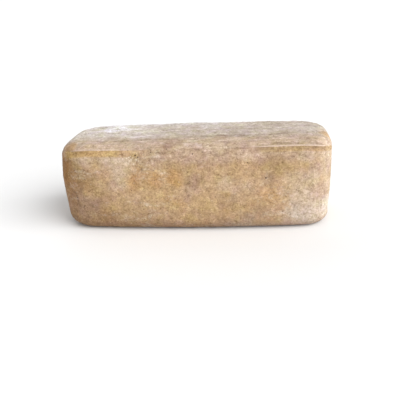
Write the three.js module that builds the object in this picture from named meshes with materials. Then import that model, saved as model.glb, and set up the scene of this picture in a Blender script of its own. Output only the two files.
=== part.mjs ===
// A whole loaf of pressed raclette cheese in its natural rind: one solid that rests on its flat base.
// Millimetres, +Z up. X runs along the loaf, -Y is the long side that faces the viewer,
// and the origin lies on the base, under the middle of the loaf.
import * as THREE from "three";
import { mergeVertices } from "three/addons/utils/BufferGeometryUtils.js";

// Size of the mould, before the walls belly out and the top crowns
const LENGTH = 298.7;
const DEPTH = 113;
const HEIGHT = 96.2;

// Plan: a mould with round corners, whose long sides and ends bow out as the cheese settles
const CORNER_RADII = { frontLeft: 29, frontRight: 24, backRight: 34, backLeft: 31 };
const SIDE_BOWS = { front: 7.8, back: 6.2 };
const END_BOW = 2.6;

// Section: the mould rounds the base edge of each wall, and the press lid rounds the top edge
const BASE_FILLETS = { left: 13, right: 9, side: 12.5 };
const TOP_FILLETS = { left: 15, right: 11.5, side: 17 };
const CROWN = 0.8;

// Share of an edge's inset by which the plan corners tighten along with it
const CORNER_TIGHTENING = 0.6;

// Each wall leans in towards the base by its draft, and bellies out at half its height
const DRAFTS = { left: 0.02, right: 0.036, side: 0.011 };
const BELLIES = { left: 2.1, right: 1.0, side: 0.9 };

// The ends sink in a little from over their bellies up, the left one more, as the press stood askew
const SINKS = { left: 2.0, right: 0.8, side: 0 };
const SINK_START = 55;
const SINK_END = 82;

// Pressing seam: a thin lip left where the lid met the wall, with a shallow hollow band under it
const LIP_ANGLE = THREE.MathUtils.degToRad(46);
const LIP_HEIGHT = 0.75;
const LIP_HALF_WIDTH = 1.3;
const BAND_DEPTH = 0.35;
const BAND_HALF_WIDTH = 3.4;
const BAND_ANGLE = THREE.MathUtils.degToRad(28);
const LIP_FAINT_SHARE = 0.3;
const LIP_FAINT_CENTRE = -12;
const LIP_FAINT_HALF_LENGTH = 50;
const LIP_FADE_LENGTH = 34;
const LIP_END_REACH = 129;
const LIP_END_FADE_LENGTH = 12;

// Unevenness of the walls and top, left by pressing and turning by hand
const UNEVENNESS = 0.4;
const UNEVEN_WAVES = [
  { along: new THREE.Vector3(0.021, 0.052, 0.061), phase: 0.4 },
  { along: new THREE.Vector3(-0.047, 0.066, 0.083), phase: 2.1 },
  { along: new THREE.Vector3(0.083, -0.031, 0.052), phase: 4.4 },
];

// Fineness of the mesh
const OUTLINE_POINTS = 120;
const BASE_FILLET_STEPS = 5;
const WALL_STEPS = 6;
const TOP_FILLET_STEPS = 7;
const LIP_STEPS = 6;
const LIP_STEP_REACH = 1.6;
const TOP_RING_SHARES = [0.82, 0.6, 0.38];
const CAP_RUNGS = 14;
const MERGE_DISTANCE = 1e-4;

const RIND_COLOUR = 0xcbaa80;

// How far a rounded edge lies inside its wall, at a distance from the face that it rounds into
function roundOff(radius, distance) {
  if (distance >= radius) return 0;
  return radius - Math.sqrt(radius ** 2 - (radius - distance) ** 2);
}

// How far the rounded base and top edges of a wall lie inside that wall, at a height
function edgeInset(height, wall) {
  return roundOff(BASE_FILLETS[wall], height) + roundOff(TOP_FILLETS[wall], HEIGHT - height);
}

// Distance from the middle of the loaf out to a wall, at a height
function wallReach(height, wall) {
  const half = (wall === "side" ? DEPTH : LENGTH) / 2;
  const belly = BELLIES[wall] * Math.sin((Math.PI * height) / HEIGHT);
  const sink = SINKS[wall] * THREE.MathUtils.smoothstep(height, SINK_START, SINK_END);
  return half - DRAFTS[wall] * (HEIGHT - height) + belly - sink - edgeInset(height, wall);
}

// Plan outline at a height: a rounded rectangle that starts at the middle of its front side
function planOutline(height) {
  const [left, right, side] = ["left", "right", "side"].map((wall) => wallReach(height, wall));
  const tighter = CORNER_TIGHTENING * edgeInset(height, "side");
  const outline = new THREE.Shape();
  const corner = (name, x, y, startAngle) => {
    const radius = CORNER_RADII[name] - tighter;
    const centre = new THREE.Vector2(x - Math.sign(x) * radius, y - Math.sign(y) * radius);
    const start = new THREE.Vector2(radius, 0).rotateAround(new THREE.Vector2(), startAngle).add(centre);
    outline.lineTo(start.x, start.y);
    outline.absarc(centre.x, centre.y, radius, startAngle, startAngle + Math.PI / 2, false);
  };
  outline.moveTo(0, -side);
  corner("frontRight", right, -side, -Math.PI / 2);
  corner("backRight", right, side, 0);
  corner("backLeft", -left, side, Math.PI / 2);
  corner("frontLeft", -left, -side, Math.PI);
  outline.lineTo(0, -side);
  return outline.getSpacedPoints(OUTLINE_POINTS).slice(0, OUTLINE_POINTS);
}

// The long sides and the ends stand out in their middle, so each point moves in towards the corners
function bowed(point) {
  const u = THREE.MathUtils.clamp(point.x / (LENGTH / 2), -1, 1);
  const v = THREE.MathUtils.clamp(point.y / (DEPTH / 2), -1, 1);
  const sideBow = v < 0 ? SIDE_BOWS.front : SIDE_BOWS.back;
  return new THREE.Vector2(point.x - END_BOW * v * v * u, point.y - sideBow * u * u * v);
}

// One ring of the loaf at a height
function ringAt(height) {
  return planOutline(height).map((p) => {
    const b = bowed(p);
    return new THREE.Vector3(b.x, b.y, height);
  });
}

// The seam's lip is clear towards both ends of the loaf, faint in the middle and gone on the ends themselves
function lipStrength(x) {
  const away = Math.abs(x - LIP_FAINT_CENTRE) - LIP_FAINT_HALF_LENGTH;
  const clear = THREE.MathUtils.smoothstep(away, -LIP_FADE_LENGTH / 2, LIP_FADE_LENGTH / 2);
  const past = THREE.MathUtils.smoothstep(Math.abs(x) - LIP_END_REACH, 0, LIP_END_FADE_LENGTH);
  return THREE.MathUtils.lerp(LIP_FAINT_SHARE, 1, clear) * (1 - past);
}

// How far the seam stands out of the top fillet, at an angle up that fillet
function seamRelief(angle, x) {
  const bump = (centre, halfWidth) => Math.exp(-((((angle - centre) * TOP_FILLETS.side) / halfWidth) ** 2));
  const lip = LIP_HEIGHT * bump(LIP_ANGLE, LIP_HALF_WIDTH);
  const band = BAND_DEPTH * bump(BAND_ANGLE, BAND_HALF_WIDTH);
  return lipStrength(x) * (lip - band);
}

// Angles up the top fillet: even steps, with finer ones across the lip
function topFilletAngles() {
  const even = Array.from({ length: TOP_FILLET_STEPS }, (_, i) => ((i + 1) * Math.PI) / 2 / TOP_FILLET_STEPS);
  const reach = (LIP_STEP_REACH * LIP_HALF_WIDTH) / TOP_FILLETS.side;
  const fine = Array.from({ length: LIP_STEPS + 1 }, (_, i) => LIP_ANGLE + reach * ((2 * i) / LIP_STEPS - 1));
  const clear = even.filter((angle) => Math.abs(angle - LIP_ANGLE) > reach + Math.PI / 8 / TOP_FILLET_STEPS);
  return [...clear, ...fine].sort((a, b) => a - b);
}

// The rings from the base up to the edge of the top face
function wallRings() {
  const rings = [];
  for (let i = 0; i <= BASE_FILLET_STEPS; i++) {
    rings.push(ringAt(BASE_FILLETS.side * (1 - Math.cos(((i / BASE_FILLET_STEPS) * Math.PI) / 2))));
  }
  const shoulder = HEIGHT - TOP_FILLETS.side;
  for (let i = 1; i <= WALL_STEPS; i++) {
    rings.push(ringAt(THREE.MathUtils.lerp(BASE_FILLETS.side, shoulder, i / WALL_STEPS)));
  }
  for (const angle of topFilletAngles()) {
    const ring = ringAt(shoulder + TOP_FILLETS.side * Math.sin(angle));
    rings.push(ring.map((p) => seamPoint(p, angle)));
  }
  return rings;
}

// A point of the top fillet pushed out by the seam, along the fillet's own radius
function seamPoint(point, angle) {
  const out = new THREE.Vector3().subVectors(point, spinePoint(point)).normalize();
  const slope = out.multiplyScalar(Math.cos(angle)).setZ(Math.sin(angle));
  return point.clone().addScaledVector(slope, seamRelief(angle, point.x));
}

// The nearest point of the line along the middle of the loaf
function spinePoint(point) {
  const reach = (LENGTH - DEPTH) / 2;
  return new THREE.Vector3(THREE.MathUtils.clamp(point.x, -reach, reach), 0, point.z);
}

// Rings on the top face, which shrink towards the spine and rise into a slight crown
function topRings(edge) {
  return TOP_RING_SHARES.map((share) =>
    edge.map((p) => {
      const q = new THREE.Vector3().lerpVectors(spinePoint(p), p, share);
      return q.setZ(p.z + CROWN * (1 - share * share));
    }),
  );
}

// Slow waves that leave the walls and the top a little uneven, and the base flat
function uneven(point) {
  const waves = UNEVEN_WAVES.map((wave) => Math.sin(point.dot(wave.along) + wave.phase));
  const swell = (UNEVENNESS * waves.reduce((sum, w) => sum + w, 0)) / UNEVEN_WAVES.length;
  const lift = THREE.MathUtils.smoothstep(point.z, 0, BASE_FILLETS.side);
  const centre = spinePoint(point).setZ(HEIGHT / 2);
  const out = new THREE.Vector3().subVectors(point, centre).normalize();
  return point.clone().addScaledVector(out, swell * lift);
}

// Closes a ring along a line of points down its middle: rungs to both long sides, and a fan at each end
function capOf(ring) {
  const half = OUTLINE_POINTS / 2;
  const wrapped = (i) => (i + OUTLINE_POINTS) % OUTLINE_POINTS;
  const onLine = (i) => OUTLINE_POINTS + CAP_RUNGS + i;
  const line = [];
  const triangles = [];
  for (let i = -CAP_RUNGS; i <= CAP_RUNGS; i++) {
    line.push(new THREE.Vector3().lerpVectors(ring[wrapped(i)], ring[half - i], 0.5));
  }
  for (let i = -CAP_RUNGS; i < CAP_RUNGS; i++) {
    triangles.push([wrapped(i), wrapped(i + 1), onLine(i + 1)], [wrapped(i), onLine(i + 1), onLine(i)]);
    triangles.push([onLine(i), onLine(i + 1), half - i - 1], [onLine(i), half - i - 1, half - i]);
  }
  for (let i = CAP_RUNGS; i < half - CAP_RUNGS; i++) {
    triangles.push([i, i + 1, onLine(CAP_RUNGS)], [half + i, half + i + 1, onLine(-CAP_RUNGS)]);
  }
  return { points: [...ring, ...line], triangles };
}

// Two triangles a step between neighbouring rings
function wallTriangles(ringCount) {
  const triangles = [];
  for (let row = 0; row + 1 < ringCount; row++) {
    for (let i = 0; i < OUTLINE_POINTS; i++) {
      const next = (i + 1) % OUTLINE_POINTS;
      const [a, b] = [row * OUTLINE_POINTS + i, row * OUTLINE_POINTS + next];
      const [c, d] = [b + OUTLINE_POINTS, a + OUTLINE_POINTS];
      triangles.push([a, b, c], [a, c, d]);
    }
  }
  return triangles;
}

// One closed skin: the walls through all rings, the base turned to face down, and the top
function loft(rings) {
  const base = capOf(rings[0]);
  const top = capOf(rings[rings.length - 1]);
  const skins = [
    { points: rings.flat(), triangles: wallTriangles(rings.length) },
    { points: base.points, triangles: base.triangles.map(([a, b, c]) => [a, c, b]) },
    top,
  ];
  const corners = skins.flatMap((skin) => skin.triangles.flat().map((i) => skin.points[i]));
  const geometry = new THREE.BufferGeometry().setFromPoints(corners);
  return mergeVertices(geometry, MERGE_DISTANCE);
}

// Sets the geometry on its base, with its plan centred on the origin
function centredOnBase(geometry) {
  geometry.computeBoundingBox();
  const { min, max } = geometry.boundingBox;
  geometry.translate(-(min.x + max.x) / 2, -(min.y + max.y) / 2, -min.z);
  geometry.computeVertexNormals();
  return geometry;
}

function makeLoaf() {
  const walls = wallRings();
  const rings = [...walls, ...topRings(walls[walls.length - 1])];
  const geometry = centredOnBase(loft(rings.map((ring) => ring.map(uneven))));
  const rind = new THREE.MeshStandardMaterial({ color: RIND_COLOUR, roughness: 0.85, metalness: 0 });
  const loaf = new THREE.Mesh(geometry, rind);
  loaf.name = "cheese_loaf";
  return loaf;
}

const cheese = new THREE.Group();
cheese.add(makeLoaf());

export default cheese;
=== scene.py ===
# %% [markdown]
# # A loaf of raclette in its natural rind
#
# This lesson dresses one whole, uncut raclette cheese. The imported solid already has the right form and
# size, so nothing here moves or resizes it. We model a finer skin over it, give that skin the small
# relief of a washed and turned rind, and then paint the rind in layers, the way it grows in the cellar.
#
# The frame has to be loaded first. Its box is kept, for the size of the rough block.

# %% Load the frame
import math

import bmesh
import bpy
import numpy as np
from mathutils import Color, Matrix, Vector, kdtree


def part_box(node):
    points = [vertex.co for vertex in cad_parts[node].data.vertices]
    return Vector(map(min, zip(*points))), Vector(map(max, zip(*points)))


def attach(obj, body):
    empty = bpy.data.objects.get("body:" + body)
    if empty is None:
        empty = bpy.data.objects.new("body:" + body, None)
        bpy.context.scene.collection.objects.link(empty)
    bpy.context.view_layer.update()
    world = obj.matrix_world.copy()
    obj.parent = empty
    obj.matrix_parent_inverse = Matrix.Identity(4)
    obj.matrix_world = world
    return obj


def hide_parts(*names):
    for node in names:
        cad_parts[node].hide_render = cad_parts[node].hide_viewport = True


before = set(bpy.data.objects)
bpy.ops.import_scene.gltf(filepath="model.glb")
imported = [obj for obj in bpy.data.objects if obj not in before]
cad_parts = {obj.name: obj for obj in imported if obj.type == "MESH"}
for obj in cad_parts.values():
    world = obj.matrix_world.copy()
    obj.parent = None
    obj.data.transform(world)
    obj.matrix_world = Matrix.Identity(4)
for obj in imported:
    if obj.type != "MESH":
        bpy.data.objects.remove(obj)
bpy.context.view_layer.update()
solid_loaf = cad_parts["cheese_loaf"]

# %% [markdown]
# ## The body of the loaf
#
# The cheese was pressed in a mould with round corners, under a lid that rounds the top edge as well. By
# hand that is a cube at the size of the loaf, with three bevels: the upright edges, the top rim and the
# base rim. Blender's operators act on whatever is selected, so a helper selects edges or faces by where
# they are.

# %% Rough block
MM = 0.001

low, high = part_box("cheese_loaf")
bpy.ops.object.select_all(action="DESELECT")
bpy.ops.mesh.primitive_cube_add(size=1, location=(low + high) / 2, scale=high - low)
loaf = bpy.context.object
loaf.name = "raclette_loaf"
bpy.ops.object.transform_apply(location=True, rotation=True, scale=True)
print("block:", [round(side / MM, 1) for side in loaf.dimensions], "mm")

# %% Round its edges
CORNER_RADIUS = 27 * MM
TOP_ROUNDING = 16 * MM
BASE_ROUNDING = 12 * MM
SAME_HEIGHT = 0.1 * MM


def select_where(piece, kind, wanted):
    """In edit mode, selects the edges or faces of a piece for which wanted is true, and counts them."""
    bpy.ops.mesh.select_mode(type="EDGE" if kind == "edges" else "FACE")
    bpy.ops.mesh.select_all(action="DESELECT")
    shape = bmesh.from_edit_mesh(piece.data)
    chosen = [item for item in getattr(shape, kind) if wanted(item)]
    for item in chosen:
        item.select_set(True)
    bmesh.update_edit_mesh(piece.data)
    return len(chosen)


def is_upright(edge):
    """Tells whether the two ends of an edge lie at different heights."""
    return abs(edge.verts[0].co.z - edge.verts[1].co.z) > SAME_HEIGHT


def rim_at(height):
    """Gives the test for an edge of the rim at this height."""
    return lambda edge: all(abs(v.co.z - height) < SAME_HEIGHT for v in edge.verts)


def round_edges(piece, wanted, radius, segments):
    """In edit mode, bevels the edges for which wanted is true, and counts them."""
    count = select_where(piece, "edges", wanted)
    bpy.ops.mesh.bevel(offset=radius, segments=segments, profile=0.5)
    return count


bpy.ops.object.mode_set(mode="EDIT")
uprights = round_edges(loaf, is_upright, CORNER_RADIUS, segments=10)
top_edges = round_edges(loaf, rim_at(high.z), TOP_ROUNDING, segments=8)
base_edges = round_edges(loaf, rim_at(low.z), BASE_ROUNDING, segments=6)
bpy.ops.object.mode_set(mode="OBJECT")
print("rounded:", uprights, "uprights,", top_edges, "top edges and", base_edges, "base edges")

# %% [markdown]
# The real walls also bow and lean a little, each in its own way. They could be sculpted by eye, but then
# they would drift away from the solid. So the rough block is cut into an even, fine skin by a voxel
# remesh and drawn onto the solid by a shrinkwrap, and a few rounds of smoothing take away the solid's
# facets. Each modifier is applied at once, so that the finished piece is a plain mesh.

# %% Fine skin drawn onto the solid
SKIN_GRAIN = 1.45 * MM
SMOOTHING_ROUNDS = 14


def take_in_hand(piece):
    """Makes a piece the only selected and active one."""
    bpy.ops.object.select_all(action="DESELECT")
    piece.select_set(True)
    bpy.context.view_layer.objects.active = piece


def finish_with(piece, kind, **settings):
    """Adds a modifier with these settings and applies it."""
    take_in_hand(piece)
    modifier = piece.modifiers.new(kind.lower(), kind)
    for name, value in settings.items():
        setattr(modifier, name, value)
    bpy.ops.object.modifier_apply(modifier=modifier.name)


finish_with(loaf, "REMESH", mode="VOXEL", voxel_size=SKIN_GRAIN, use_smooth_shade=True)
finish_with(loaf, "SHRINKWRAP", target=solid_loaf, wrap_method="NEAREST_SURFACEPOINT")
finish_with(loaf, "SMOOTH", factor=0.5, iterations=SMOOTHING_ROUNDS)
print("skin:", len(loaf.data.vertices), "points,", len(loaf.data.polygons), "faces")

# %% [markdown]
# ## The pressing lip
#
# Where the lid met the wall of the mould, some curd squeezed into the gap. It stands as a thin lip along
# the top edge of the long sides, clear towards both ends of the loaf and nearly worn away in the middle,
# with a shallow hollow band under it. A bead swept along a curve could be laid on, but it would show a
# seam, so the lip is raised out of the skin. Its course is worked out first: how high it runs, and how
# clear it is along the loaf.

# %% Course of the lip
LIP_LEVEL = 92.1 * MM
LIP_STRAIGHT_FROM = -108 * MM
LIP_STRAIGHT_TO = 113 * MM
LIP_DROOP_RADIUS = 130 * MM
LIP_WORN_CENTRE = 6 * MM
LIP_WORN_HALF_LENGTH = 57 * MM
LIP_FADE = 42 * MM
LIP_WORN_SHARE = 0.12
LIP_END_FADES = ((-137 * MM, -127 * MM), (145 * MM, 137 * MM))


def smooth_step(value, start, stop):
    """Goes smoothly from 0 at start to 1 at stop."""
    t = np.clip((value - start) / (stop - start), 0, 1)
    return t * t * (3 - 2 * t)


def height_over_lip(x, z):
    """How far a place lies over the lip's crest, which droops in an arc towards the ends of the loaf."""
    past = np.maximum(np.maximum(LIP_STRAIGHT_FROM - x, x - LIP_STRAIGHT_TO), 0)
    return z - LIP_LEVEL + past ** 2 / (2 * LIP_DROOP_RADIUS)


def clearness_of_lip(x):
    """How clear the lip is at a place along the loaf: worn in the middle and gone on the ends."""
    away = np.abs(x - LIP_WORN_CENTRE) - LIP_WORN_HALF_LENGTH
    clear = LIP_WORN_SHARE + (1 - LIP_WORN_SHARE) * smooth_step(away, -LIP_FADE / 2, LIP_FADE / 2)
    for gone, full in LIP_END_FADES:
        clear = clear * smooth_step(x, gone, full)
    return clear


along_loaf = np.array([-120, -60, 0, 60, 120]) * MM
print("lip clear by", clearness_of_lip(along_loaf).round(2), "at", (along_loaf / MM).round(), "mm along")

# %% [markdown]
# The lip is finer than the skin, so the faces along it are subdivided. That leaves many-sided faces round
# them, which are split into triangles, because those shade cleanly.

# %% Refine the skin along the lip
LIP_REFINED_BELOW = 2.1 * MM
LIP_REFINED_ABOVE = 1.9 * MM
LIP_REFINED_FROM = 0.2


def refine(piece, wanted, cuts):
    """Subdivides the faces for which wanted is true, and splits the many-sided faces round them."""
    take_in_hand(piece)
    bpy.ops.object.mode_set(mode="EDIT")
    count = select_where(piece, "faces", wanted)
    bpy.ops.mesh.subdivide(number_cuts=cuts, smoothness=0)
    bpy.ops.mesh.select_all(action="DESELECT")
    bpy.ops.mesh.select_face_by_sides(number=4, type="GREATER")
    bpy.ops.mesh.quads_convert_to_tris(quad_method="BEAUTY", ngon_method="BEAUTY")
    bpy.ops.object.mode_set(mode="OBJECT")
    return count


def on_the_lip(face):
    """Tells whether a face lies where the lip will be clear."""
    middle = face.calc_center_median()
    if not -LIP_REFINED_BELOW < height_over_lip(middle.x, middle.z) < LIP_REFINED_ABOVE:
        return False
    return clearness_of_lip(middle.x) > LIP_REFINED_FROM


refined = refine(loaf, on_the_lip, cuts=2)
print("lip:", refined, "faces refined")

# %% [markdown]
# Vertex groups say how strongly each point takes part, and two Displace modifiers raise the lip and sink
# the band. On the left half the lip was rubbed low, so there it stands only about a third as high and
# shows more by its colour. The crest is kept as a group of its own for that paint.

# %% How strongly each point takes part
LIP_FALL_BELOW = 0.5 * MM
LIP_FALL_ABOVE = 0.9 * MM
LIP_LEFT_SHARE = 0.35
BAND_DROP = 3.2 * MM
BAND_SPREAD = 1.9 * MM


def points_of(piece):
    """All vertex places of a piece, as an array in metres."""
    places = np.empty(len(piece.data.vertices) * 3)
    piece.data.vertices.foreach_get("co", places)
    return places.reshape(-1, 3)


places = points_of(loaf)
clear = clearness_of_lip(places[:, 0])
rise = height_over_lip(places[:, 0], places[:, 2])
fall = np.where(rise < 0, LIP_FALL_BELOW, LIP_FALL_ABOVE)
crest = clear * np.exp(-((rise / fall) ** 2))
hollow = clear * np.exp(-(((rise + BAND_DROP) / BAND_SPREAD) ** 2))
standing = LIP_LEFT_SHARE + (1 - LIP_LEFT_SHARE) * smooth_step(places[:, 0], -LIP_FADE, LIP_FADE)
print("points on the crest:", int((crest > 0.5).sum()), "and in the band:", int((hollow > 0.5).sum()))

# %% Raise the lip and sink the band under it
LIP_HEIGHT = 1.05 * MM
BAND_DEPTH = 0.35 * MM
FAINTEST_WEIGHT = 0.004


def weigh(piece, name, weights):
    """Makes a vertex group from an array with one weight for each point."""
    group = piece.vertex_groups.new(name=name)
    for index in np.flatnonzero(weights > FAINTEST_WEIGHT):
        group.add([int(index)], float(weights[index]), "REPLACE")
    return group.name


crest_group = weigh(loaf, "crest", crest)
lip_group = weigh(loaf, "lip", crest * standing)
band_group = weigh(loaf, "band", hollow * standing)
finish_with(loaf, "DISPLACE", strength=LIP_HEIGHT, mid_level=0, vertex_group=lip_group)
finish_with(loaf, "DISPLACE", strength=-BAND_DEPTH, mid_level=0, vertex_group=band_group)
print("lip: raised by up to", round(LIP_HEIGHT / MM, 2), "mm, at", round(LIP_LEVEL / MM, 1), "mm up")

# %% [markdown]
# ## The relief of the rind
#
# A rind that is washed, rubbed and turned for weeks is never quite even. It has slow dents from the shelf
# it ripened on, a pebbly grain of a few millimetres, and a fine tooth. A bump in the material could fake
# them, but would leave the outline smooth, so three cloud textures displace the skin along its normals.
# A cloud finer than the skin's own grain would only make it ragged, so the two fine ones have no smaller
# octaves. The base lies flat and the crest of the lip was pressed smooth, so a vertex group keeps the
# relief off the one and weak on the other.

# %% Dents, pebbles and tooth
# Each relief has its grain, its height and its number of smaller octaves.
RIND_RELIEF = {
    "dents": (19 * MM, 0.75 * MM, 2),
    "pebbles": (5.5 * MM, 0.6 * MM, 0),
    "tooth": (3 * MM, 0.42 * MM, 0),
}
BASE_KEPT_FLAT = 0.6 * MM
BASE_RELIEF_FULL = 4.5 * MM
LIP_KEPT_SMOOTH = 0.65

heights = points_of(loaf)[:, 2]
free = smooth_step(heights, BASE_KEPT_FLAT, BASE_RELIEF_FULL) * (1 - LIP_KEPT_SMOOTH * crest)
free_group = weigh(loaf, "free_skin", free)
for name, (grain, height, octaves) in RIND_RELIEF.items():
    clouds = bpy.data.textures.new(name, type="CLOUDS")
    clouds.noise_scale = grain
    clouds.noise_depth = octaves
    finish_with(
        loaf, "DISPLACE", texture=clouds, texture_coords="LOCAL", strength=height, mid_level=0.5,
        vertex_group=free_group,
    )
    print("relief:", name, "of", round(grain / MM, 2), "mm grain,", round(height / MM, 2), "mm high")

# %% [markdown]
# ## Pits and pepper
#
# Here and there a bit of pepper or a small gas hole has left a dark pit in the rind. The clearest ones are
# listed one by one. The rest come from a seeded draw of places in the loaf's box, each moved to the nearest
# point of the skin, so that they are the same in every render.

# %% Choose the pits
# Each clear pit has its place and its radius, in millimetres.
CLEAR_PITS = [
    ((-57, -53.3, 87.3), 1.15),
    ((-40.6, -52.5, 89.9), 0.8),
    ((3.6, -53.9, 87.8), 0.85),
    ((78.4, -54.7, 60.3), 1.05),
    ((-128.5, -48.7, 38.1), 0.75),
    ((-65.1, -55.1, 48), 0.7),
    ((-46.1, -55.9, 56.4), 0.6),
    ((16.2, -56.9, 49.8), 0.6),
]
SPREAD_PITS = 60
LEAST_RADIUS = 0.45
LARGEST_RADIUS = 0.8
PIT_SEED = 11

places = points_of(loaf)
tree_of_points = kdtree.KDTree(len(places))
for index, place in enumerate(places):
    tree_of_points.insert(place, index)
tree_of_points.balance()
pits = [(tree_of_points.find(Vector(place) * MM)[0], radius * MM) for place, radius in CLEAR_PITS]
draw = np.random.default_rng(PIT_SEED)
drawn = draw.uniform((*low, LEAST_RADIUS), (*high, LARGEST_RADIUS), (SPREAD_PITS, 4))
for *place, radius in drawn:
    on_skin = tree_of_points.find(place)[0]
    if on_skin.z > BASE_RELIEF_FULL:
        pits.append((on_skin, radius * MM))
print("pits:", len(CLEAR_PITS), "placed by hand,", len(pits), "in all")

# %% [markdown]
# Pits could be cut out with Booleans, but that leaves hard rims. Each pit is finer than the skin, so the
# faces round it are subdivided, and a Displace modifier sinks it softly. A narrow pit is sunk less than a
# wide one, or it would look drilled.

# %% Refine the skin round the pits and sink them
PIT_DEPTH = 0.8 * MM
PIT_FULL_RADIUS = 1.15 * MM
PIT_WALL = (0.35, 1.15)
PIT_REFINED_REACH = 1.6

pit_tree = kdtree.KDTree(len(pits))
for index, (middle, radius) in enumerate(pits):
    pit_tree.insert(middle, index)
pit_tree.balance()


def share_of_pit(place):
    """Distance to the nearest pit's middle, counted in that pit's radii, and that pit's radius."""
    middle, index, distance = pit_tree.find(place)
    radius = pits[index][1]
    return distance / radius, radius


def by_a_pit(face):
    """Tells whether a face has a corner in a pit or close to one."""
    return min(share_of_pit(v.co)[0] for v in face.verts) < PIT_REFINED_REACH


refined = refine(loaf, by_a_pit, cuts=3)
shares, radii = np.array([share_of_pit(place) for place in points_of(loaf)]).T
in_pit = 1 - smooth_step(shares, *PIT_WALL)
pit_group = weigh(loaf, "pits", in_pit)
pit_floor_group = weigh(loaf, "pit_floors", in_pit * radii / PIT_FULL_RADIUS)
finish_with(loaf, "DISPLACE", strength=-PIT_DEPTH, mid_level=0, vertex_group=pit_floor_group)
print("pits:", refined, "faces refined; the skin now has", len(loaf.data.polygons), "faces")

# %% [markdown]
# The paint will follow the lip and the pits. A material can't read vertex groups, but it can read
# attributes, so the crest, the pits and the height over the lip are kept on the points as attributes, and
# the groups go.

# %% Marks that the paint will follow
def weights_of(piece, group_name):
    """The weights of a vertex group, as an array with one for each point."""
    number = piece.vertex_groups[group_name].index
    weights = np.zeros(len(piece.data.vertices))
    for vertex in piece.data.vertices:
        for member in vertex.groups:
            if member.group == number:
                weights[vertex.index] = member.weight
    return weights


def keep_mark(piece, name, values):
    """Keeps one value for each point as an attribute, which a material can read."""
    mark = piece.data.attributes.new(name, "FLOAT", "POINT")
    mark.data.foreach_set("value", np.asarray(values, np.float32))
    print("mark:", name, "from", round(float(values.min()), 2), "to", round(float(values.max()), 2))


places = points_of(loaf)
keep_mark(loaf, "lip_mark", weights_of(loaf, crest_group))
keep_mark(loaf, "pit_mark", weights_of(loaf, pit_group))
keep_mark(loaf, "mm_over_lip", height_over_lip(places[:, 0], places[:, 2]) / MM)
loaf.vertex_groups.clear()
take_in_hand(loaf)
bpy.ops.object.shade_smooth()

# %% [markdown]
# ## Paint for the rind
#
# The rind is a living skin, so no part of it has one flat colour. A picture wrapped round the loaf would
# stretch at the corners and keep the light it was taken in. So we paint the rind with nodes, in layers: slow
# patches, stains, the grey-white bloom, and a fine mottle and flecks. A few coats are painted light all the
# same: painted shade low on the walls, beside the lip and on the left end, and a painted highlight on the
# right end and on the far rim of the top. Every layer reads Object coordinates, turned into millimetres once,
# so that the sizes below are real ones. Paints are given by how they look in bright light, so the shader gets
# each of them a little darker.

# %% Helpers for nodes and colours
LOOKS_BRIGHTER = 1.27

rind = bpy.data.materials.new("natural_rind")
rind.use_nodes = True
palette = rind.node_tree
palette.nodes.clear()


def add_node(kind, sockets=None, **settings):
    """Adds a node, with its settings, and fills or links its sockets."""
    made = palette.nodes.new(kind)
    for name, value in settings.items():
        setattr(made, name, value)
    for socket, value in (sockets or {}).items():
        if isinstance(value, bpy.types.NodeSocket):
            palette.links.new(value, made.inputs[socket])
        else:
            made.inputs[socket].default_value = value
    return made


def colour(red, green, blue):
    """The linear paint that looks like this screen colour, from 0 to 255, in the scene's bright light."""
    on_screen = Color((red / 255, green / 255, blue / 255))
    return (*on_screen.from_srgb_to_scene_linear() / LOOKS_BRIGHTER, 1)


def tell(step):
    """Prints how far the painting has come."""
    print("painted:", step, "with", len(palette.nodes), "nodes so far")


where = add_node("ShaderNodeTexCoord").outputs["Object"]
in_mm = add_node("ShaderNodeVectorMath", {0: where, "Scale": 1 / MM}, operation="SCALE").outputs[0]
along, across, up = add_node("ShaderNodeSeparateXYZ", {0: in_mm}).outputs
tell("places")

# %% [markdown]
# Most of the painting is done with noise fields, because nothing on a rind repeats. A field runs from about
# 0.3 to 0.7, round a middle of 0.5. Adding noise to a place before a mask is drawn by it makes the mask's
# edge ragged, as edges are on a rind.

# %% Helpers for fields and sums
NOISE_MIDDLE = 0.5


def field(grain, seed, detail=3, roughness=0.55, stretch=None):
    """A noise field whose blotches are about this many millimetres across."""
    place = in_mm
    if stretch:
        place = add_node("ShaderNodeVectorMath", {0: in_mm, 1: stretch}, operation="MULTIPLY").outputs[0]
    sockets = {"Vector": place, "W": seed, "Scale": 1 / grain, "Detail": detail, "Roughness": roughness}
    return add_node("ShaderNodeTexNoise", sockets, noise_dimensions="4D").outputs["Fac"]


def maths(operation, first, second=0):
    """One sum on two values, or on one."""
    return add_node("ShaderNodeMath", {0: first, 1: second}, operation=operation).outputs[0]


def times(first, *others):
    """The product of several values."""
    for other in others:
        first = maths("MULTIPLY", first, other)
    return first


def off_middle(noise):
    """How far a noise field is over or under its middle."""
    return maths("SUBTRACT", noise, NOISE_MIDDLE)


def wander(value, noise, reach):
    """Shifts a value by noise times this reach, so that the edges drawn by it are ragged."""
    return maths("ADD", value, times(off_middle(noise), reach))


slow = field(42, seed=1.3, detail=4)
patchy = field(25, seed=5.1, detail=6, roughness=0.64)
rubbed = field(17, seed=8.7, detail=6, roughness=0.66)
tell("three slow fields")

# %% [markdown]
# ### Slow patches
#
# Seen from across the room, the loaf is tan with warmer and cooler fields some centimetres wide, as the rind
# grew thicker or thinner. One noise field moves between pink-beige, tan and straw, and two more lay ochre and
# brown patches over that. Under the rim runs a cooler, pinkish strip. Each is a coat of paint with a soft
# mask, which says where it goes: a mask that starts at 0.5 of a field leaves about half of the skin bare.

# %% Slow patches
TAN = colour(203, 169, 131)
PINK_BEIGE = colour(208, 179, 154)
STRAW = colour(205, 171, 127)
OCHRE = colour(204, 160, 107)
BROWN = colour(163, 127, 90)
RIM_PINK = colour(194, 165, 142)
RIM_STRIP_UP = (75, 83)


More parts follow.
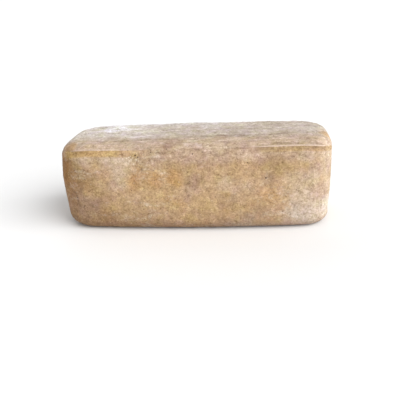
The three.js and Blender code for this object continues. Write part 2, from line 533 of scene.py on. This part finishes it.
def mask(value, start, full):
    """Goes smoothly from 0 where the value is at start to 1 where it is at full."""
    sockets = {"Value": value, "From Min": start, "From Max": full}
    return add_node("ShaderNodeMapRange", sockets, interpolation_type="SMOOTHSTEP").outputs["Result"]


def coat(under, over, share, blend="MIX"):
    """Lays a coat of paint over another, as far as its share allows."""
    sockets = {0: share, 6: under, 7: over}
    return add_node("ShaderNodeMix", sockets, data_type="RGBA", blend_type=blend).outputs[2]


ground = coat(TAN, STRAW, mask(slow, 0.45, 0.62))
ground = coat(ground, PINK_BEIGE, times(mask(slow, 0.48, 0.34), 0.6))
ground = coat(ground, OCHRE, times(mask(patchy, 0.52, 0.68), 0.5))
ground = coat(ground, BROWN, times(mask(rubbed, 0.54, 0.7), 0.4))
ground = coat(ground, RIM_PINK, times(mask(wander(up, rubbed, 14), *RIM_STRIP_UP), 0.65))
tell("slow patches")

# %% [markdown]
# ### Stains
#
# The stains that give the front its look could be left to chance too, but then the eye would miss them. So
# they are placed one by one, as a painter would dab them: each is a soft spot of one of a few paints, with a
# rim that noise has broken up.

# %% Helpers for stains
SPOT_RAGGEDNESS = 2.2
SPOT_START = 1.3
SPOT_FULL = 0.4


def spot(x, y, z, radius):
    """A soft round mask at a place on the loaf, in millimetres, with a broken rim."""
    sockets = {0: in_mm, 1: (x, y, z)}
    apart = add_node("ShaderNodeVectorMath", sockets, operation="DISTANCE").outputs["Value"]
    ragged = wander(apart, patchy, radius * SPOT_RAGGEDNESS)
    return mask(ragged, radius * SPOT_START, radius * SPOT_FULL)


def lay_stains(under, stains):
    """Lays stains of paint, each given as its colour, strength, place and radius."""
    for paint, strength, place, radius in stains:
        under = coat(under, paint, times(spot(*place, radius), strength))
    print("stains placed:", len(stains))
    return under


print("stains: full within", SPOT_FULL, "and gone by", SPOT_START, "of their radius")

# %% Stains on the front
PALE_BEIGE = colour(220, 195, 168)
OLIVE = colour(181, 149, 108)
MAUVE = colour(168, 136, 109)

FRONT_STAINS = [
    (OCHRE, 0.8, (-58, -55, 68), 12),
    (OCHRE, 0.65, (-61, -55, 57), 11),
    (OCHRE, 0.85, (-40, -56, 62), 12),
    (BROWN, 0.4, (-50, -55, 15), 11),
    (OCHRE, 0.85, (-17, -57, 63), 11),
    (OCHRE, 0.5, (82, -54, 40), 12),
    (OCHRE, 0.7, (-27, -51, 91), 5),
    (OLIVE, 0.75, (-118, -52, 67), 13),
    (OCHRE, 0.4, (-91, -53, 65), 9),
    (OLIVE, 0.6, (-46, -56, 76), 8),
    (OLIVE, 0.45, (38, -56, 36), 12),
    (OLIVE, 0.4, (-6, -57, 67), 8),
    (OLIVE, 0.35, (18, -56, 74), 6),
    (OLIVE, 0.75, (90, -54, 75), 13),
    (OLIVE, 0.6, (77, -54, 69), 9),
    (OLIVE, 0.35, (-62, -55, 24), 15),
    (STRAW, 0.9, (9, -57, 33), 12),
    (STRAW, 0.6, (24, -57, 53), 16),
    (BROWN, 0.75, (-97, -53, 18), 15),
    (BROWN, 0.8, (-120, -51, 56), 14),
    (BROWN, 0.5, (-96, -53, 41), 9),
    (BROWN, 0.5, (-110, -52, 50), 9),
    (MAUVE, 0.9, (-116, -51, 25), 17),
    (MAUVE, 0.75, (-128, -48, 40), 15),
    (MAUVE, 0.6, (4, -57, 59), 10),
    (MAUVE, 0.6, (82, -54, 59), 8),
    (MAUVE, 0.5, (34, -56, 13), 12),
    (MAUVE, 0.4, (76, -54, 21), 14),
    (MAUVE, 0.5, (75, -53, 86), 11),
    (PALE_BEIGE, 0.7, (-75, -55, 79), 20),
    (PALE_BEIGE, 0.5, (-113, -51, 82), 9),
    (PALE_BEIGE, 0.4, (38, -56, 53), 12),
    (PALE_BEIGE, 0.45, (-76, -55, 57), 10),
    (PALE_BEIGE, 0.5, (114, -52, 52), 16),
    (RIM_PINK, 0.8, (130, -49, 66), 11),
    (PALE_BEIGE, 0.7, (129, -50, 56), 9),
    (PALE_BEIGE, 0.6, (121, -51, 83), 9),
    (PALE_BEIGE, 0.8, (121, -51, 27), 24),
    (PALE_BEIGE, 0.9, (141, -40, 20), 13),
]
ground = lay_stains(ground, FRONT_STAINS)

# %% [markdown]
# The back and most of the two ends get the same paints, but from noise fields, because no stain there has to
# be at a certain place.

# %% Stains on the back and the ends
FRONT_ACROSS = (-12, -32)

at_front = mask(across, *FRONT_ACROSS)
elsewhere = maths("SUBTRACT", 1, at_front)
clouded = field(34, seed=41.3, detail=5, roughness=0.62)
ground = coat(ground, PALE_BEIGE, times(mask(clouded, 0.53, 0.68), elsewhere, 0.6))
ground = coat(ground, MAUVE, times(mask(clouded, 0.47, 0.32), elsewhere, 0.55))
ground = coat(ground, OCHRE, times(mask(patchy, 0.47, 0.36), elsewhere, 0.5))
tell("stains on the back and the ends")

# %% [markdown]
# ### Ends and base
#
# The front corner of the left end is handled most and carries little bloom, so it is a warm brown ochre,
# which thins out round the end; that ochre is also painted darker, as painted shade of the left end. The
# right end is a pale cream, partly its own colour and partly a painted highlight where the key light strikes
# it. Close to the base the rind is painted darker, as painted shade where the low walls turn down towards the
# floor: brown on the whole, and greyer along the right half of the front. Each is one coat whose mask follows
# the place along, across or up, with a ragged edge.

# %% Ends and base
END_OCHRE_AND_SHADE = colour(166, 119, 66)
END_CREAM_AND_HIGHLIGHT = colour(219, 197, 169)
# the two base colours are painted shade, for the lower walls and the base edge
BASE_SHADE_BROWN = colour(150, 115, 83)
BASE_SHADE_GREY = colour(161, 138, 124)
HANDLED_ACROSS = (-6, -38)
HANDLED_UP = (26, 58)
LEFT_END_ALONG = (-121, -139)
RIGHT_END_ALONG = (133, 143)
BASE_SHADE_GREY_ALONG = (10, 60)
BASE_LEAN = 0.035
LOW_SHADE_UP = (30, 10)
BASE_EDGE_SHADE_UP = (15, 3)


def between(least, most, share):
    """The amount that lies this share of the way from the least to the most."""
    return maths("ADD", times(share, most - least), least)


high_up = between(0.45, 1, mask(wander(up, rubbed, 24), *HANDLED_UP))
handled = times(mask(wander(across, rubbed, 44), *HANDLED_ACROSS), high_up)
left_end = mask(wander(along, rubbed, 24), *LEFT_END_ALONG)
# warm ochre of the handled left end, painted darker as painted shade of that end
ground = coat(ground, END_OCHRE_AND_SHADE, times(left_end, between(0.3, 0.95, handled)))
right_end = mask(wander(along, rubbed, 16), *RIGHT_END_ALONG)
# pale cream of the right end, partly a painted highlight where the key light strikes it
ground = coat(ground, END_CREAM_AND_HIGHLIGHT, times(right_end, between(0.3, 0.85, mask(clouded, 0.4, 0.58))))
greyer_shade = times(mask(wander(along, rubbed, 40), *BASE_SHADE_GREY_ALONG), at_front)
base_shade_tone = coat(BASE_SHADE_BROWN, BASE_SHADE_GREY, greyer_shade)
leaning = maths("ADD", up, times(along, BASE_LEAN))
# painted shade: darker low on the walls and darkest along the base edge
ground = coat(ground, base_shade_tone, times(mask(wander(leaning, rubbed, 10), *LOW_SHADE_UP), 0.28))
ground = coat(ground, base_shade_tone, times(mask(wander(leaning, rubbed, 8), *BASE_EDGE_SHADE_UP), 0.75))
tell("ends and base")

# %% [markdown]
# ### Bloom
#
# The grey-white bloom is a dusty growth. It lies thickest on the back of the top, which is touched least, and
# is palest towards the left and along the far rim, where it has a touch of lilac. It creeps over the rim in
# tongues, and is thinner in drifts elsewhere. A plain white coat would look like a film. Close up, dust is
# many pale grains, so fine noise breaks it up.

# %% Bloom
TOP_WARM = colour(208, 182, 156)
TOP_GREY = colour(214, 200, 187)
TOP_PALE = colour(232, 221, 209)
BLOOM_GREY = colour(186, 168, 152)
BLOOM_PALE = colour(236, 224, 210)
BLOOM_LILAC = colour(232, 223, 219)
TOP_FACING = (0.25, 0.95)
CREEPING_UP = (60, 100)
BACK_ACROSS = (-40, 0)
PALEST_ALONG = (10, -70)
FAR_RIM_ACROSS = (20, 40)
FAR_RIM_ALONG = (50, 10)

facing = add_node("ShaderNodeNewGeometry").outputs["Normal"]
facing_up = add_node("ShaderNodeSeparateXYZ", {0: facing}).outputs[2]
drifts = field(22, seed=12.4, detail=5, roughness=0.65, stretch=(0.5, 1, 1))
dust = field(2.2, seed=3.6, detail=3, roughness=0.8, stretch=(0.6, 1, 1))
dusted = wander(drifts, dust, 0.5)
on_top = mask(wander(facing_up, drifts, 0.9), *TOP_FACING)
creeping = times(mask(wander(up, drifts, 110), *CREEPING_UP), elsewhere)
far_back = times(on_top, mask(wander(across, drifts, 70), *BACK_ACROSS))
palest = times(far_back, mask(wander(along, drifts, 120), *PALEST_ALONG))
far_rim = times(on_top, mask(wander(across, drifts, 20), *FAR_RIM_ACROSS))
far_rim = times(far_rim, mask(wander(along, drifts, 60), *FAR_RIM_ALONG))
skin = coat(ground, TOP_GREY, times(creeping, 0.5))
skin = coat(skin, TOP_WARM, times(on_top, 0.75))
skin = coat(skin, TOP_GREY, times(far_back, 0.8))
skin = coat(skin, TOP_PALE, times(palest, 0.8))
skin = coat(skin, BLOOM_LILAC, times(far_rim, 0.8))
skin = coat(skin, BLOOM_GREY, times(mask(dusted, 0.52, 0.36), on_top, 0.45))
skin = coat(skin, BLOOM_PALE, times(mask(dusted, 0.54, 0.74), 0.4))
tell("bloom")

# %% [markdown]
# Over the bloom come the stains that aren't dusted: darker and paler dabs on the top and along its rim, ochre
# at the two front corners, and pink, grey and white ones low on the right, over the cream of that end. Two of
# the dabs are painted light: a painted shade just over the lip on the right, and a painted highlight on the
# far rim of the top.

# %% Stains over the bloom
BLOOM_WHITE_AND_HIGHLIGHT = colour(246, 240, 238)
LOW_GREY = colour(150, 133, 117)

LATE_STAINS = [
    (MAUVE, 0.5, (-20, -38, 96), 12),
    # painted shade: a dark line just over the lip on the right
    (MAUVE, 0.3, (88, -44, 95), 9),
    (BLOOM_GREY, 0.55, (51, 1, 97), 20),
    (BLOOM_GREY, 0.5, (-3, -6, 97), 15),
    (PALE_BEIGE, 0.45, (26, -48, 93), 13),
    (MAUVE, 0.6, (-25, -51, 92), 9),
    (RIM_PINK, 0.5, (55, -53, 87), 8),
    (MAUVE, 0.5, (30, -24, 97), 10),
    (OLIVE, 0.6, (-60, -51, 90), 7),
    (OCHRE, 0.65, (-132, -38, 92), 10),
    (OCHRE, 0.35, (142, -2, 95), 9),
    (OCHRE, 0.65, (146, -17, 93), 11),
    (PALE_BEIGE, 0.6, (-88, -47, 95), 16),
    (PALE_BEIGE, 0.5, (-58, -48, 94), 8),
    (RIM_PINK, 0.75, (137, -45, 41), 12),
    (RIM_PINK, 0.6, (141, -42, 66), 9),
    (LOW_GREY, 0.4, (60, -54, 15), 13),
    (TOP_GREY, 0.4, (122, -50, 17), 16),
    (TOP_GREY, 0.35, (105, -53, 20), 11),
    (BLOOM_PALE, 0.6, (143, -36, 22), 12),
    # white bloom on the far rim of the top, painted brighter as a painted highlight where that rim turns from
    # the light
    (BLOOM_WHITE_AND_HIGHLIGHT, 0.9, (-97, 24, 97), 18),
    (BLOOM_LILAC, 0.45, (18, 25, 97), 14),
    (BLOOM_LILAC, 0.35, (137, 5, 96), 12),
]
skin = lay_stains(skin, LATE_STAINS)

# %% [markdown]
# ### Band under the lip
#
# The hollow band under the lip kept the colour of the young rind: a clear ochre along the front towards the
# left end, lightest right under the lip, and a thinner one towards the right. Round the back it only shows
# faintly. It could be masked by height alone, but the lip droops towards the ends, so the paint reads the
# height over the lip that was kept on the points.

# %% Band under the lip
BAND_OCHRE = colour(197, 159, 100)
BAND_LIGHT = colour(224, 188, 132)
BELOW_LIP = (0.2, -0.5)
LEFT_BAND_LEVEL = (-7.8, -5.2)
LEFT_BAND_BEGINS = (-142, -132)
LEFT_BAND_ENDS = (-38, -84)
RIGHT_BAND_LEVEL = (-5.6, -4)
RIGHT_BAND_BEGINS = (60, 100)
LIGHT_LEVEL = (-3.4, -1.2)
LIGHT_ALONG = (-95, -108)


def mark_on_skin(name):
    """A mark that was kept on the points of the skin."""
    return add_node("ShaderNodeAttribute", attribute_name=name).outputs["Fac"]


over_lip = mark_on_skin("mm_over_lip")
below_lip = mask(over_lip, *BELOW_LIP)
level = wander(over_lip, rubbed, 3)
left_band = times(mask(level, *LEFT_BAND_LEVEL), below_lip, mask(along, *LEFT_BAND_BEGINS))
left_band = times(left_band, mask(wander(along, patchy, 60), *LEFT_BAND_ENDS))
right_band = times(mask(level, *RIGHT_BAND_LEVEL), below_lip, mask(along, *RIGHT_BAND_BEGINS), 0.65)
band = times(maths("MAXIMUM", left_band, right_band), between(0.2, 1, at_front))
skin = coat(skin, BAND_OCHRE, times(band, 0.8))
lightest = times(left_band, at_front, mask(over_lip, *LIGHT_LEVEL))
lightest = times(lightest, between(0.3, 0.9, mask(along, *LIGHT_ALONG)))
skin = coat(skin, BAND_LIGHT, times(lightest, 0.85))
tell("band under the lip")

# %% [markdown]
# ### Mottle and streaks
#
# From close by the rind is a mix of lighter and darker grains of every size, down to a millimetre. Noise
# fields brighten and dim the paint that is there, which keeps its hue better than coats of white and black:
# a pale grain is only a little less yellow than what lies under it, and a dark one a little more. A slower
# field turns the paint a touch pinker or greener. Brushing drew streaks along the rim and the top, and the
# skin has fine creases, which are the lines along which a noise field crosses its middle.

# %% Mottle and streaks
BRIGHTER = (1.72, 1.9, 2.1, 1)
DIMMER = (0.455, 0.4, 0.32, 1)
PINKER = (1.005, 0.978, 1.08, 1)
GREENER = (0.99, 1.016, 0.91, 1)
CREASE_WIDTH = 0.02
BRUSHED_UP = (74, 84)


def dim_and_brighten(under, noise, dim, bright, share=1):
    """Dims the paint where the noise is low and brightens it where the noise is high."""
    under = coat(under, DIMMER, times(mask(noise, 0.5, 0.3), dim, share), "MULTIPLY")
    return coat(under, BRIGHTER, times(mask(noise, 0.5, 0.7), bright, share), "MULTIPLY")


hue = field(11, seed=52.3, detail=2, roughness=0.6)
mottle = field(8, seed=21.5, detail=3, roughness=1)
speckle = field(1.9, seed=27.2, detail=2, roughness=0.8)
streaks = field(5, seed=31.7, detail=2, roughness=0.85, stretch=(0.22, 1, 1))
wrinkles = field(7, seed=35.1, detail=3, roughness=0.6, stretch=(0.6, 1, 1))
brushed = mask(wander(up, rubbed, 14), *BRUSHED_UP)
crease = mask(maths("ABSOLUTE", off_middle(wrinkles)), CREASE_WIDTH, 0)
skin = coat(skin, PINKER, mask(hue, 0.5, 0.68), "MULTIPLY")
skin = coat(skin, GREENER, mask(hue, 0.5, 0.32), "MULTIPLY")
skin = dim_and_brighten(skin, mottle, 0.52, 0.36)
skin = dim_and_brighten(skin, speckle, 0.58, 0.28)
skin = dim_and_brighten(skin, streaks, 0.5, 0.3, brushed)
skin = coat(skin, DIMMER, times(crease, 0.42), "MULTIPLY")
tell("mottle and streaks")

# %% [markdown]
# Across the top, some way in from the front, the thick bloom ends in a dark, broken line. It runs a little
# askew to the loaf and in slow waves, and is plainer towards the right. The line is where a slanting, wavy
# distance from the middle of the loaf has one certain value.

# %% Edge of the bloom
EDGE_IN_FRONT = 23
EDGE_SLANT = 0.057
EDGE_WAVES = 26
EDGE_SOFTNESS = (6, 0.4)
EDGE_BREAKS = (0.36, 0.54)
EDGE_ALONG = (-110, -92, 95, 118)
EDGE_PLAINER = (-40, 20)


def stretch_of(value, start, full, fading, gone):
    """A mask over a stretch of values: it comes in from start to full and goes out from fading to gone."""
    return times(mask(value, start, full), mask(value, gone, fading))


waves = field(26, seed=44.6, detail=2, stretch=(1, 0.3, 0.3))
slanting = maths("SUBTRACT", across, times(along, EDGE_SLANT))
from_edge = maths("ABSOLUTE", maths("ADD", wander(slanting, waves, EDGE_WAVES), EDGE_IN_FRONT))
edge_of_bloom = times(mask(from_edge, *EDGE_SOFTNESS), on_top, mask(patchy, *EDGE_BREAKS))
edge_of_bloom = times(edge_of_bloom, stretch_of(along, *EDGE_ALONG))
plainer = between(0.28, 0.62, mask(along, *EDGE_PLAINER))
skin = coat(skin, DIMMER, times(edge_of_bloom, plainer), "MULTIPLY")
tell("edge of the bloom")

# %% [markdown]
# ### Flecks
#
# Brown and cream flecks lie all over the rind, with a few dark ones of pepper. Pepper is thicker along the
# rim of the front, and brown and cream flecks gather round the clearest pit. Flecks could be small pieces of
# mesh, but there are thousands of them and they lie flat in the rind. Here a fleck is the middle of a Voronoi
# cell, and a random number for each cell decides whether it is there at all.

# %% Flecks
CREAM = colour(243, 226, 200)
FLECK_BROWN = colour(120, 92, 68)
PEPPER = colour(72, 58, 48)
FLECK_START = 1.3
FLECK_FULL = 0.6
CHOICE_SOFTNESS = 0.03
PEPPERED_ALONG = (-80, -60, 10, 50)


def flecks(spacing, radius, kept, seed):
    """Small flecks, this far apart on the whole and this large, of which only a share is kept."""
    sockets = {"Vector": in_mm, "W": seed, "Scale": 1 / spacing, "Randomness": 1}
    cells = add_node("ShaderNodeTexVoronoi", sockets, voronoi_dimensions="4D", feature="F1")
    chance = add_node("ShaderNodeSeparateColor", {0: cells.outputs["Color"]}).outputs[0]
    size = radius / spacing
    there = mask(chance, kept + CHOICE_SOFTNESS, kept - CHOICE_SOFTNESS)
    return times(mask(cells.outputs["Distance"], size * FLECK_START, size * FLECK_FULL), there)


browns = flecks(spacing=3.6, radius=0.9, kept=0.4, seed=2)
creams = flecks(spacing=4.1, radius=0.95, kept=0.4, seed=6)
peppers = flecks(spacing=9, radius=0.8, kept=0.3, seed=9)
rim_peppers = times(flecks(spacing=4.2, radius=0.8, kept=0.6, seed=14), brushed, at_front)
rim_peppers = times(rim_peppers, stretch_of(along, *PEPPERED_ALONG))
pit_browns = times(flecks(spacing=3, radius=0.75, kept=0.6, seed=17), spot(-48, -52.5, 88, 15))
pit_creams = times(flecks(spacing=2.6, radius=0.9, kept=0.6, seed=4), spot(-62, -55, 81, 10))
skin = coat(skin, FLECK_BROWN, times(browns, 0.5))
skin = coat(skin, CREAM, times(creams, 0.3))
skin = coat(skin, PEPPER, times(peppers, 0.7))
skin = coat(skin, PEPPER, times(rim_peppers, 0.9))
skin = coat(skin, FLECK_BROWN, times(pit_browns, 0.7))
skin = coat(skin, CREAM, times(pit_creams, 0.8))
tell("flecks")

# %% [markdown]
# ### Lip and pits
#
# The crest of the lip was rubbed pale, and painted shade lies beside it: under it along the front towards the
# right, and in a short streak just over it. The pits are dark. Paint by place would miss such thin shapes, so
# these coats follow the marks kept on the skin.

# %% Lip and pits
RUBBED_PALE = colour(240, 215, 196)
LIP_SHADE = colour(136, 114, 90)
PIT_DARK = colour(66, 45, 33)
SHADE_LEVEL = (-4.5, -1.2, -0.9, -0.4)
SHADE_ALONG = (55, 90, 135, 143)
SHADE_STREAK_LEVEL = (1.1, 1.8, 2.5, 3.3)
SHADE_STREAK_ALONG = (82, 92, 104, 116)
LIP_PALER_ALONG = (40, 85)

shade = times(stretch_of(over_lip, *SHADE_LEVEL), stretch_of(along, *SHADE_ALONG), at_front)
shade_streak = times(stretch_of(over_lip, *SHADE_STREAK_LEVEL), stretch_of(along, *SHADE_STREAK_ALONG), at_front)
paleness = between(0.42, 0.62, mask(along, *LIP_PALER_ALONG))
# painted shade beside the lip: under it along the front, and in a short streak just over it
skin = coat(skin, LIP_SHADE, times(shade, 0.35))
skin = coat(skin, LIP_SHADE, times(shade_streak, 0.45))
skin = coat(skin, RUBBED_PALE, times(mask(mark_on_skin("lip_mark"), 0.35, 0.95), paleness))
skin = coat(skin, PIT_DARK, times(mask(mark_on_skin("pit_mark"), 0.1, 0.8), 0.85))
tell("lip and pits")

# %% [markdown]
# ### Surface
#
# A dry rind is almost matt, with a faint waxy sheen where it was rubbed bare of bloom, so the roughness
# follows the bloom. Grains below a millimetre are finer than the mesh can hold, so a bump from the same fine
# fields gives them their tooth.

# %% Surface
BUMP_HEIGHT = 0.5 * MM
BUMP_STRENGTH = 0.8
BARE_ROUGHNESS = 0.62
BLOOM_ROUGHNESS = 0.9
SHEEN = 0.3

fine_grain = maths("ADD", times(dust, 0.4), times(speckle, 0.6))
bump = add_node("ShaderNodeBump", {
    "Height": fine_grain,
    "Distance": BUMP_HEIGHT,
    "Strength": BUMP_STRENGTH,
})
roughness = add_node("ShaderNodeMapRange", {
    "Value": dusted,
    "From Min": 0.35,
    "From Max": 0.8,
    "To Min": BARE_ROUGHNESS,
    "To Max": BLOOM_ROUGHNESS,
})
surface = add_node("ShaderNodeBsdfPrincipled", {
    "Base Color": skin,
    "Roughness": roughness.outputs["Result"],
    "Normal": bump.outputs[0],
    "Specular IOR Level": SHEEN,
})
add_node("ShaderNodeOutputMaterial", {"Surface": surface.outputs[0]})
loaf.data.materials.clear()
loaf.data.materials.append(rind)
tell("surface")

# %% [markdown]
# ## Put the loaf in the frame
#
# The cheese has no moving parts, so the loaf rides on the only body. It could be laid over the plain solid,
# but the two skins would show through each other, so it replaces the solid in the picture. The solid stays
# for weight and contact.

# %% Frame
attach(loaf, "root")
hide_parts("cheese_loaf")
print("frame:", loaf.name, "rides on the root and replaces", solid_loaf.name)

# %% [markdown]
# ## Floor and light
#
# The loaf stands on a plain pale floor, wide enough to fill the view. It lies a hair below the base, because
# two faces at one height would flicker.

# %% Floor
FLOOR_WIDTH = 40
FLOOR_GAP = 0.2 * MM
FLOOR_WHITE = (0.86, 0.86, 0.86, 1)
FLOOR_ROUGHNESS = 0.9

bpy.ops.object.select_all(action="DESELECT")
bpy.ops.mesh.primitive_plane_add(size=FLOOR_WIDTH, location=(0, 0, -FLOOR_GAP))
floor = bpy.context.object
floor.name = "pale_floor"
pale = bpy.data.materials.new("pale_floor")
pale.use_nodes = True
pale_surface = pale.node_tree.nodes["Principled BSDF"]
pale_surface.inputs["Base Color"].default_value = FLOOR_WHITE
pale_surface.inputs["Roughness"].default_value = FLOOR_ROUGHNESS
floor.data.materials.append(pale)
print("floor:", FLOOR_WIDTH, "m wide")

# %% [markdown]
# A white sky lights the loaf all round. A picture of a real sky could do that, but it would need a file and
# tint the rind. Where the camera looks past the floor it sees a plain white backdrop, which adds no light.

# %% Sky
SKY_STRENGTH = 0.5
BACKDROP_STRENGTH = 1
WHITE = (1, 1, 1, 1)

sky = bpy.data.worlds.new("white_sky")
sky.use_nodes = True
sky_nodes = sky.node_tree.nodes
glow = sky_nodes["Background"]
backdrop = sky_nodes.new("ShaderNodeBackground")
for shine, strength in ((glow, SKY_STRENGTH), (backdrop, BACKDROP_STRENGTH)):
    shine.inputs["Color"].default_value = WHITE
    shine.inputs["Strength"].default_value = strength
either = sky_nodes.new("ShaderNodeMixShader")
seen = sky_nodes.new("ShaderNodeLightPath").outputs["Is Camera Ray"]
for source, socket in ((seen, 0), (glow.outputs[0], 1), (backdrop.outputs[0], 2)):
    sky.node_tree.links.new(source, either.inputs[socket])
sky.node_tree.links.new(either.outputs[0], sky_nodes["World Output"].inputs["Surface"])
bpy.context.scene.world = sky
bpy.context.scene.view_settings.view_transform = "Standard"
print("sky: at", SKY_STRENGTH, "and", BACKDROP_STRENGTH, "as the backdrop")

# %% [markdown]
# A broad, soft key comes from the right and a little from the front, so that the right end is bright and the
# left end falls off, and a weak fill reaches the back. Lamps close by would leave pools of light, so both are
# sun lamps, which light the floor evenly, with a wide disc for soft shadows.

# %% Lamps
# Each lamp has the direction that it lies in, its strength and the width of its disc in degrees.
LAMPS = {
    "key_light": (Vector((0.8, -0.42, 0.6)), 3.6, 60),
    "fill_light": (Vector((-0.45, 0.85, 0.25)), 0.9, 90),
}

for name, (towards, strength, width) in LAMPS.items():
    bpy.ops.object.light_add(type="SUN")
    lamp = bpy.context.object
    lamp.name = name
    lamp.rotation_euler = towards.to_track_quat("Z", "Y").to_euler()
    lamp.data.energy = strength
    lamp.data.angle = math.radians(width)
    print("lamp:", name, "at", strength)

# %% [markdown]
# ## Camera
#
# The camera stands a little to the right of the loaf's middle, looks down on it, and is held slightly askew.
# It could be moved about by eye, but three angles and a distance are easier to note and to change, so its
# place is worked out from those.

# %% Camera
CAMERA_PITCH = math.radians(22.66)
CAMERA_YAW = math.radians(6.55)
CAMERA_ROLL = math.radians(-3.24)
CAMERA_DISTANCE = 615.8 * MM
CAMERA_AIM = Vector((2.6, 0, 13.4)) * MM
CAMERA_LENS = 46.8

back = Vector((
    math.sin(CAMERA_YAW) * math.cos(CAMERA_PITCH),
    -math.cos(CAMERA_YAW) * math.cos(CAMERA_PITCH),
    math.sin(CAMERA_PITCH),
))
right = Vector((0, 0, 1)).cross(back).normalized()
upwards = back.cross(right)
standpoint = Matrix.Translation(CAMERA_AIM + back * CAMERA_DISTANCE)
turn = Matrix((right, upwards, back)).transposed().to_4x4()
bpy.ops.object.camera_add()
camera = bpy.context.object
camera.data.lens = CAMERA_LENS
camera.matrix_world = standpoint @ turn @ Matrix.Rotation(CAMERA_ROLL, 4, "Z")
bpy.context.scene.camera = camera
print("camera:", round(CAMERA_DISTANCE / MM), "mm away with a lens of", CAMERA_LENS, "mm")
